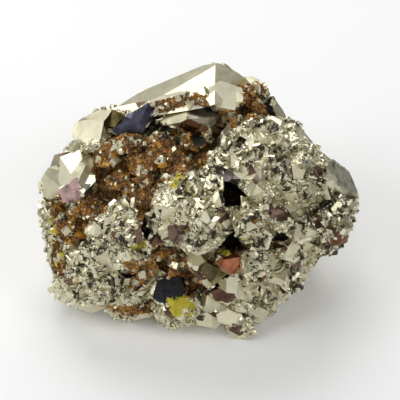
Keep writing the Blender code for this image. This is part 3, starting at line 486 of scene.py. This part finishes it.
def cutCorner(direction, reach):
    bpy.ops.mesh.select_all(action="SELECT")
    bpy.ops.mesh.bisect(plane_co=direction * reach, plane_no=direction, use_fill=True, clear_outer=True)


def takeShape(thing):
    # the corners and triangles of a finished master, which is then removed
    bpy.ops.object.mode_set(mode="OBJECT")
    thing.data.calc_loop_triangles()
    shape = np.array([vertex.co for vertex in thing.data.vertices])
    faces = np.array([triangle.vertices for triangle in thing.data.loop_triangles])
    bpy.data.objects.remove(thing)
    return shape, faces


def chipShapes(count, cuts, seed, reach):
    rng = np.random.default_rng(seed)
    shapes = []
    for number in range(count):
        thing = startCube("chip")
        for cut in range(cuts):
            direction = Vector(rng.normal(size=3)).normalized()
            cutCorner(direction, rng.uniform(*reach))
        shapes.append(takeShape(thing))
    return shapes


def crystalShapes():
    shapes = []
    for corner in (((1, 1, 1), 0.72), ((1, -1, 1), 0.6)):
        thing = startCube("crystal")
        cutCorner(Vector(corner[0]).normalized(), corner[1])
        shapes.append(takeShape(thing))
    thing = startCube("crystal")  # the twelve-sided habit
    for axis in range(3):
        for one in (1, -1):
            for two in (1, -1):
                direction = [0, 0, 0]
                direction[axis] = one
                direction[(axis + 1) % 3] = two * 0.5
                cutCorner(Vector(direction).normalized(), 0.47)
    shapes.append(takeShape(thing))
    return shapes


def scatter(name, shapes, weights, count, sizes, sunk, lean, seed, power=2.2, flat=1.0):
    # copies of the masters over the surface, each with its own corners, joined in one mesh
    rng = np.random.default_rng(seed)
    chosen = rng.choice(len(weights), size=count, p=weights / weights.sum())
    share = rng.dirichlet((1, 1, 1), size=count)
    spot = np.einsum("ij,ijk->ik", share, points[corners[chosen]])
    size = sizes[0] + (sizes[1] - sizes[0]) * rng.random(count) ** power
    up = normals[chosen]
    axis = up + rng.normal(size=(count, 3)) * lean / 1.7
    axis /= np.linalg.norm(axis, axis=1, keepdims=True)
    side = np.cross(axis, rng.normal(size=(count, 3)))
    side /= np.linalg.norm(side, axis=1, keepdims=True)
    other = np.cross(axis, side)
    stretch = rng.uniform((0.7, 0.55, 0.5 * flat), (1.15, 1.0, flat), size=(count, 3))
    turn = np.stack((side, other, axis), axis=2) * (stretch * size[:, None])[:, None, :]
    spot = spot - up * (size * sunk * flat)[:, None]
    which = rng.integers(len(shapes), size=count)
    tone = rng.random(count)
    allPoints, allFaces, allTone, allSource, allHeight = [], [], [], [], []
    start = 0
    for number, (shape, faces) in enumerate(shapes):
        mine = np.flatnonzero(which == number)
        moved = np.einsum("nij,kj->nki", turn[mine], shape) + spot[mine][:, None, :]
        height = np.einsum("nkj,nj->nk", moved - spot[mine][:, None, :], up[mine]) / size[mine][:, None]
        offsets = start + np.arange(len(mine))[:, None, None] * len(shape)
        allPoints.append(moved.reshape(-1, 3))
        allFaces.append((faces[None] + offsets).reshape(-1, 3))
        allTone.append(np.repeat(tone[mine], len(faces)))
        allSource.append(np.repeat(chosen[mine], len(faces)))
        allHeight.append(height[:, faces].reshape(-1, 3))
        start += len(mine) * len(shape)
    cloud = np.concatenate(allPoints)
    cloud[:, 2] = np.maximum(cloud[:, 2], 0)
    thing = newPiece(name, cloud, np.concatenate(allFaces))
    return thing, np.concatenate(allTone), np.concatenate(allSource), np.concatenate(allHeight)


def paintScatter(thing, tone, source, height, rustOn, shadeBy):
    # a piece takes rust, dust and painted shade from where it stands, with more painted shade towards its foot
    paintedLight = np.zeros((len(tone), 3, 4))
    # painted shade towards the foot of each piece
    lowShade = np.clip(0.3 - height * 2, 0, 1)
    rustShadeToneDust = np.empty((len(tone), 3, 4))
    rustShadeToneDust[:, :, 0] = (rust[source] * rustOn)[:, None]
    rustShadeToneDust[:, :, 1] = np.clip(paintedShade[source][:, None] * shadeBy + lowShade, 0, 1)
    rustShadeToneDust[:, :, 2] = tone[:, None]
    rustShadeToneDust[:, :, 3] = dust[source][:, None]
    # painted shade: pieces far down in the two holes are coloured almost black
    deepShade = (hollow[source] > 0.5) & (sky[source] < 0.4)
    paintedLight[deepShade] = (0.012, 0.010, 0.008, 1)
    breaks = np.broadcast_to(crumple[source][:, None, None], paintedLight.shape)
    for name, values in (("paintedLight", paintedLight), ("rustShadeToneDust", rustShadeToneDust), ("breaks", breaks)):
        layer = thing.data.color_attributes.new(name, "FLOAT_COLOR", "CORNER")
        layer.data.foreach_set("color", values.astype(np.float32).ravel())
    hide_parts("pyrite_cluster")
    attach(thing, "root")


clumps = 0.35 + smoothNoise(centres, 0.004, 12)
frontSide = facing > 0
behindPlain = zoneMask(spots, plainZones, 2) > 0.5
standing = centres[:, 2] > 0.0012
roughFront = areas * ~plain * frontSide * ~behindPlain * clumps * (1 - rust * 0.85) * (hollow < 0.3)
roughBack = areas * ~plain * ~frontSide * ~behindPlain * clumps * (1 - rust * 0.7) * standing
shards = chipShapes(chip["shapes"], chip["cuts"], 2, (0.3, 0.46))
chipsFront = scatter("pyrite_chips_front", shards, roughFront, chip["front"], chip["frontSizes"], chip["sunk"],
                     chip["lean"], 31, flat=chip["flat"])
chipsBack = scatter("pyrite_chips_back", shards, roughBack, chip["back"], chip["backSizes"], chip["sunk"],
                    chip["lean"], 32, flat=chip["flat"])
paintScatter(*chipsFront, 0.5, 0.3)
paintScatter(*chipsBack, 0.5, 0.3)
smallCrystals = scatter("small_crystals", crystalShapes(), areas * rust, crystal["count"], crystal["sizes"],
                        crystal["sunk"], crystal["lean"], 33)
paintScatter(*smallCrystals, 0.25, 0.35)
lumps = chipShapes(grain["shapes"], 5, 4, (0.36, 0.5))
grainsFront = scatter("limonite_grains_front", lumps, areas * rust * frontSide, grain["front"], grain["sizes"],
                      grain["sunk"], grain["lean"], 34, 1.6)
grainsOver = scatter("limonite_grains_over", lumps, areas * rust * frontSide, grain["front"], grain["sizes"],
                     grain["sunk"], grain["lean"], 36, 1.6)
grainsBack = scatter("limonite_grains_back", lumps, areas * rust * ~frontSide * standing, grain["back"],
                     grain["sizes"], grain["sunk"], grain["lean"], 35, 1.6)
paintScatter(*grainsFront, 1, 0.7)
paintScatter(*grainsOver, 1, 0.7)
paintScatter(*grainsBack, 1, 0.7)

# materials
# the dark brass colour is painted shade in cracks and hollows, and also the colour of the real pits and specks
brass = {"light": (0.88, 0.85, 0.66, 1), "dark": (0.58, 0.54, 0.37, 1), "paintedShade": (0.030, 0.022, 0.011, 1)}
rusty = (
    (0.00, (0.012, 0.007, 0.002)), (0.20, (0.050, 0.022, 0.004)), (0.40, (0.17, 0.070, 0.008)),
    (0.58, (0.42, 0.17, 0.014)), (0.76, (0.58, 0.31, 0.030)), (0.90, (0.70, 0.48, 0.10)), (1.00, (0.78, 0.68, 0.50)),
)


class Board:
    # a node tree with short ways to add and join nodes
    def __init__(self, tree):
        self.tree = tree

    def add(self, kind, values=(), **settings):
        node = self.tree.nodes.new(kind)
        for name, value in settings.items():
            setattr(node, name, value)
        for name, value in dict(values).items():
            if isinstance(value, bpy.types.NodeSocket):
                self.tree.links.new(value, node.inputs[name])
            else:
                node.inputs[name].default_value = value
        return node

    def sum(self, operation, one, two=0.0, clamp=False):
        return self.add("ShaderNodeMath", {0: one, 1: two}, operation=operation, use_clamp=clamp).outputs[0]

    def blend(self, factor, one, two, way="MIX"):
        node = self.add("ShaderNodeMix", {0: factor, 6: one, 7: two}, data_type="RGBA", blend_type=way)
        return node.outputs[2]

    def ramp(self, value, stops, smooth="LINEAR"):
        node = self.add("ShaderNodeValToRGB", {0: value})
        node.color_ramp.interpolation = smooth
        while len(node.color_ramp.elements) < len(stops):
            node.color_ramp.elements.new(0.5)
        for element, (place, colour) in zip(node.color_ramp.elements, stops):
            element.position = place
            element.color = (*colour, 1) if isinstance(colour, tuple) else (colour, colour, colour, 1)
        return node.outputs[0]


def newGroup(name, inputs, outputs):
    tree = bpy.data.node_groups.new(name, "ShaderNodeTree")
    for socket, kind, value in inputs:
        made = tree.interface.new_socket(socket, in_out="INPUT", socket_type=kind)
        made.default_value = value
    for socket, kind in outputs:
        tree.interface.new_socket(socket, in_out="OUTPUT", socket_type=kind)
    board = Board(tree)
    return board, board.add("NodeGroupInput").outputs, board.add("NodeGroupOutput").inputs


def useGroup(board, name, values):
    node = board.tree.nodes.new("ShaderNodeGroup")
    node.node_tree = bpy.data.node_groups[name]
    for socket, value in values.items():
        if isinstance(value, bpy.types.NodeSocket):
            board.tree.links.new(value, node.inputs[socket])
        else:
            node.inputs[socket].default_value = value
    return node.outputs


def makeBrokenFacets():
    # turns the normal a little in each small cell, as on a crumbled break, and gives painted shade along the cracks
    # between the larger cells
    board, given, made = newGroup(
        "Broken Facets",
        (("Scale", "NodeSocketFloat", 1000), ("Turn", "NodeSocketFloat", 0.5), ("Crack", "NodeSocketFloat", 0.08)),
        (("Normal", "NodeSocketVector"), ("CrackShade", "NodeSocketFloat")),
    )
    place = board.add("ShaderNodeTexCoord").outputs["Object"]
    noise = board.add("ShaderNodeTexNoise", {"Vector": place, "Scale": 800, "Detail": 2})
    warp = board.add("ShaderNodeVectorMath", {0: noise.outputs["Color"], 1: (0.5, 0.5, 0.5)}, operation="SUBTRACT")
    warp = board.add("ShaderNodeVectorMath", {0: warp.outputs[0], "Scale": 0.0008}, operation="SCALE")
    place = board.add("ShaderNodeVectorMath", {0: place, 1: warp.outputs[0]}, operation="ADD").outputs[0]
    total = board.add("ShaderNodeNewGeometry").outputs["Normal"]
    wide = board.sum("MULTIPLY", given["Scale"], 0.4)
    for scale in (given["Scale"], wide):
        cells = board.add("ShaderNodeTexVoronoi", {"Vector": place, "Scale": scale})
        turned = board.add("ShaderNodeVectorMath", {0: cells.outputs["Color"], 1: (0.5, 0.5, 0.5)},
                           operation="SUBTRACT")
        turned = board.add("ShaderNodeVectorMath", {0: turned.outputs[0], "Scale": given["Turn"]}, operation="SCALE")
        total = board.add("ShaderNodeVectorMath", {0: turned.outputs[0], 1: total}, operation="ADD").outputs[0]
    total = board.add("ShaderNodeVectorMath", {0: total}, operation="NORMALIZE")
    board.tree.links.new(total.outputs[0], made["Normal"])
    edges = board.add("ShaderNodeTexVoronoi", {"Vector": place, "Scale": wide}, feature="DISTANCE_TO_EDGE")
    crack = board.sum("DIVIDE", edges.outputs["Distance"], given["Crack"], True)
    board.tree.links.new(board.sum("SUBTRACT", 1.0, crack), made["CrackShade"])


def makeGrowthLines():
    # fine parallel lines that run another way in each patch
    board, given, made = newGroup(
        "Growth Lines",
        (("Patch", "NodeSocketFloat", 200), ("Lines", "NodeSocketFloat", 9000)),
        (("Height", "NodeSocketFloat"), ("Mask", "NodeSocketFloat")),
    )
    place = board.add("ShaderNodeTexCoord").outputs["Object"]
    cells = board.add("ShaderNodeTexVoronoi", {"Vector": place, "Scale": given["Patch"]})
    way = board.add("ShaderNodeVectorMath", {0: cells.outputs["Color"], 1: (0.5, 0.5, 0.5)}, operation="SUBTRACT")
    way = board.add("ShaderNodeVectorMath", {0: way.outputs[0]}, operation="NORMALIZE")
    along = board.add("ShaderNodeVectorMath", {0: place, 1: way.outputs[0]}, operation="DOT_PRODUCT").outputs["Value"]
    wide = board.sum("MULTIPLY", along, given["Lines"])
    rows = board.add("ShaderNodeTexNoise", {"W": wide, "Scale": 1.0, "Detail": 2}, noise_dimensions="1D")
    board.tree.links.new(rows.outputs["Fac"], made["Height"])
    board.tree.links.new(board.ramp(rows.outputs["Fac"], ((0.34, 0.0), (0.5, 1.0))), made["Mask"])


def makeRust():
    # limonite from black-brown to gold, by the tone of each grain
    board, given, made = newGroup(
        "Rust",
        (("Tone", "NodeSocketFloat", 0.5), ("Scale", "NodeSocketFloat", 700)),
        (("Colour", "NodeSocketColor"), ("Rough", "NodeSocketFloat")),
    )
    place = board.add("ShaderNodeTexCoord").outputs["Object"]
    fine = board.add("ShaderNodeTexNoise", {"Vector": place, "Scale": given["Scale"], "Detail": 3}).outputs["Fac"]
    broad = board.add("ShaderNodeTexNoise", {"Vector": place, "Scale": 160, "Detail": 2}).outputs["Fac"]
    value = board.sum("ADD", board.sum("MULTIPLY", given["Tone"], 0.55), board.sum("MULTIPLY", fine, 0.5))
    value = board.sum("ADD", value, board.sum("MULTIPLY", broad, 0.6))
    value = board.sum("SUBTRACT", value, 0.36, True)
    board.tree.links.new(board.ramp(value, rusty), made["Colour"])
    board.tree.links.new(board.sum("ADD", 0.35, board.sum("MULTIPLY", fine, 0.5)), made["Rough"])


makeBrokenFacets()
makeGrowthLines()
makeRust()


def pyriteMaterial(name, rough, facet, turn, crack, lines, lineDepth, pits):
    material = bpy.data.materials.new(name)
    material.use_nodes = True
    board = Board(material.node_tree)
    shader = material.node_tree.nodes["Principled BSDF"]
    place = board.add("ShaderNodeTexCoord").outputs["Object"]
    paintedLight = board.add("ShaderNodeAttribute", attribute_name="paintedLight")
    rustShadeToneDust = board.add("ShaderNodeAttribute", attribute_name="rustShadeToneDust")
    parts = board.add("ShaderNodeSeparateColor", {0: rustShadeToneDust.outputs["Color"]}).outputs
    dusty = rustShadeToneDust.outputs["Alpha"]
    breaks = board.add("ShaderNodeAttribute", attribute_name="breaks").outputs["Fac"]
    facets = useGroup(board, "Broken Facets", {"Scale": facet, "Crack": crack,
                                               "Turn": board.sum("MULTIPLY", breaks, turn)})
    rows = useGroup(board, "Growth Lines", {"Patch": 260, "Lines": lines})
    mottle = board.add("ShaderNodeTexNoise", {"Vector": place, "Scale": 420, "Detail": 4, "Roughness": 0.65})
    specks = board.add("ShaderNodeTexNoise", {"Vector": place, "Scale": 1500, "Detail": 3, "Roughness": 0.6})

    # metal, lighter and darker by piece and by small patches
    tone = board.sum("ADD", board.sum("MULTIPLY", parts[2], 0.45), board.sum("MULTIPLY", mottle.outputs["Fac"], 0.9))
    tone = board.sum("SUBTRACT", tone, 0.35, True)
    colour = board.blend(tone, brass["dark"], brass["light"])
    # painted reflections and painted shade of the listed faces, mottled
    lightMottle = board.ramp(mottle.outputs["Fac"], ((0.35, 0.55), (0.6, 1.25)))
    mottledPaintedLight = board.blend(1.0, paintedLight.outputs["Color"], lightMottle, "MULTIPLY")
    colour = board.blend(paintedLight.outputs["Alpha"], colour, mottledPaintedLight)

    # dark pits and specks, joined with painted shade in cracks, in hollows with little open sky and on the sunken
    # parts of the broken facets
    paintedShadeLevel = board.sum("MULTIPLY", parts[1], parts[1])
    edge = board.sum("ADD", board.sum("MULTIPLY", paintedShadeLevel, 0.6), pits)
    edge = board.sum("ADD", edge, board.sum("MULTIPLY", facets["CrackShade"], 0.22))
    mask = board.sum("SUBTRACT", board.sum("ADD", specks.outputs["Fac"], edge), 0.72)
    mask = board.sum("MULTIPLY", mask, 7.0, True)
    colour = board.blend(mask, colour, brass["paintedShade"])

    # yellow-green dust in broken patches
    patch = board.sum("SUBTRACT", board.sum("MULTIPLY", dusty, 0.62), mottle.outputs["Fac"])
    patch = board.sum("MULTIPLY", board.sum("ADD", patch, 0.02), 9.0, True)
    colour = board.blend(patch, colour, (0.50, 0.42, 0.02, 1))

    # rust over the metal
    rusted = useGroup(board, "Rust", {"Tone": parts[2], "Scale": 700})
    cover = board.sum("SUBTRACT", board.sum("MULTIPLY", parts[0], 1.5), specks.outputs["Fac"])
    cover = board.sum("MULTIPLY", board.sum("ADD", cover, 0.1), 5.0, True)
    cover = board.sum("MULTIPLY", cover, board.sum("MULTIPLY", parts[0], 4.0, True), True)
    colour = board.blend(cover, colour, rusted["Colour"])

    dull = board.sum("MAXIMUM", board.sum("MAXIMUM", cover, patch), board.sum("MULTIPLY", mask, 0.8))
    metal = board.sum("SUBTRACT", 1.0, dull, True)
    spread = board.sum("ADD", rough, board.sum("MULTIPLY", mottle.outputs["Fac"], 0.18))
    spread = board.add("ShaderNodeMix", {0: dull, 2: spread, 3: rusted["Rough"]}).outputs[0]
    bump = board.add("ShaderNodeBump", {"Height": rows["Height"], "Distance": lineDepth, "Strength": 0.6,
                                        "Normal": facets["Normal"]})
    bump = board.add("ShaderNodeBump", {"Height": specks.outputs["Fac"], "Distance": 0.00006, "Strength": 0.5,
                                        "Normal": bump.outputs[0]})
    for socket, value in (("Base Color", colour), ("Metallic", metal), ("Roughness", spread),
                          ("Normal", bump.outputs[0])):
        material.node_tree.links.new(value, shader.inputs[socket])
    return material


def grainMaterial():
    material = bpy.data.materials.new("limonite grains")
    material.use_nodes = True
    board = Board(material.node_tree)
    shader = material.node_tree.nodes["Principled BSDF"]
    place = board.add("ShaderNodeTexCoord").outputs["Object"]
    rustShadeToneDust = board.add("ShaderNodeAttribute", attribute_name="rustShadeToneDust")
    parts = board.add("ShaderNodeSeparateColor", {0: rustShadeToneDust.outputs["Color"]}).outputs
    rusted = useGroup(board, "Rust", {"Tone": parts[2], "Scale": 500})
    # painted shade: grains darker where little sky is open and towards their foot
    paintedShadeDim = board.sum("MULTIPLY", parts[1], 0.75)
    colour = board.blend(paintedShadeDim, rusted["Colour"], (0.022, 0.011, 0.004, 1))
    fine = board.add("ShaderNodeTexNoise", {"Vector": place, "Scale": 2600, "Detail": 3})
    bump = board.add("ShaderNodeBump", {"Height": fine.outputs["Fac"], "Distance": 0.00008, "Strength": 0.7})
    for socket, value in (("Base Color", colour), ("Roughness", rusted["Rough"]), ("Normal", bump.outputs[0])):
        material.node_tree.links.new(value, shader.inputs[socket])
    shader.inputs["Specular IOR Level"].default_value = 0.6
    shader.inputs["Coat Weight"].default_value = 0.25
    shader.inputs["Coat Roughness"].default_value = 0.15
    return material


broken = pyriteMaterial("broken pyrite", 0.2, 1900, 0.6, 0.12, 9000, 0.00006, 0.05)
crystalFace = pyriteMaterial("crystal faces", 0.32, 400, 0.06, 0.001, 5000, 0.00003, 0.04)
chipMetal = pyriteMaterial("chipped pyrite", 0.24, 1300, 0.2, 0.02, 7000, 0.00004, 0.05)
limonite = grainMaterial()
surface.data.materials.append(broken)
surface.data.materials.append(crystalFace)
for made in (chipsFront, chipsBack):
    made[0].data.materials.append(chipMetal)
smallCrystals[0].data.materials.append(crystalFace)
for made in (grainsFront, grainsOver, grainsBack):
    made[0].data.materials.append(limonite)
print("materials made")

# floor, light and camera
studio = {
    "world": 0.16,
    "floor": (0.90, 0.90, 0.90, 1),
    "lights": (  # name, place, size, brightness
        ("back softbox", (-0.06, 0.42, 0.42), (0.50, 0.36), 4.0),
        ("left softbox", (-0.46, -0.10, 0.34), (0.34, 0.44), 3.2),
        ("right softbox", (0.42, -0.22, 0.40), (0.26, 0.36), 2.6),
        ("eye softbox", (0.03, -0.50, 0.52), (0.30, 0.22), 2.4),
        ("front card", (0.04, -0.46, 0.12), (0.60, 0.12), 1.4),
        ("top lamp", (-0.10, -0.10, 0.60), (0.16, 0.16), 3.0),
    ),
}


def addFloor():
    bpy.ops.mesh.primitive_plane_add(size=6, location=(0, 0, 0))
    floor = bpy.context.object
    floor.name = "floor"
    material = bpy.data.materials.new("pale floor")
    material.use_nodes = True
    shader = material.node_tree.nodes["Principled BSDF"]
    shader.inputs["Base Color"].default_value = studio["floor"]
    shader.inputs["Roughness"].default_value = 0.9
    floor.data.materials.append(material)


def addLights():
    for name, place, size, bright in studio["lights"]:
        data = bpy.data.lights.new(name, "AREA")
        data.shape = "RECTANGLE"
        data.size = size[0]
        data.size_y = size[1]
        data.energy = bright * math.pi * size[0] * size[1]
        light = bpy.data.objects.new(name, data)
        light.location = place
        light.rotation_euler = (view["aim"] - light.location).to_track_quat("-Z", "Y").to_euler()
        bpy.context.scene.collection.objects.link(light)
    world = bpy.data.worlds.new("studio")
    world.use_nodes = True
    world.node_tree.nodes["Background"].inputs[0].default_value = (1, 1, 1, 1)
    world.node_tree.nodes["Background"].inputs[1].default_value = studio["world"]
    bpy.context.scene.world = world


def addCamera():
    data = bpy.data.cameras.new("camera")
    data.sensor_width = 36
    data.lens = view["lens"]
    data.clip_start = 0.01
    camera = bpy.data.objects.new("camera", data)
    camera.location = view["aim"] + Vector(toEye) * view["distance"]
    camera.rotation_euler = Vector(toEye).to_track_quat("Z", "Y").to_euler()
    bpy.context.scene.collection.objects.link(camera)
    bpy.context.scene.camera = camera


addFloor()
addLights()
addCamera()
bpy.context.scene.view_settings.view_transform = "Standard"
print("studio set")
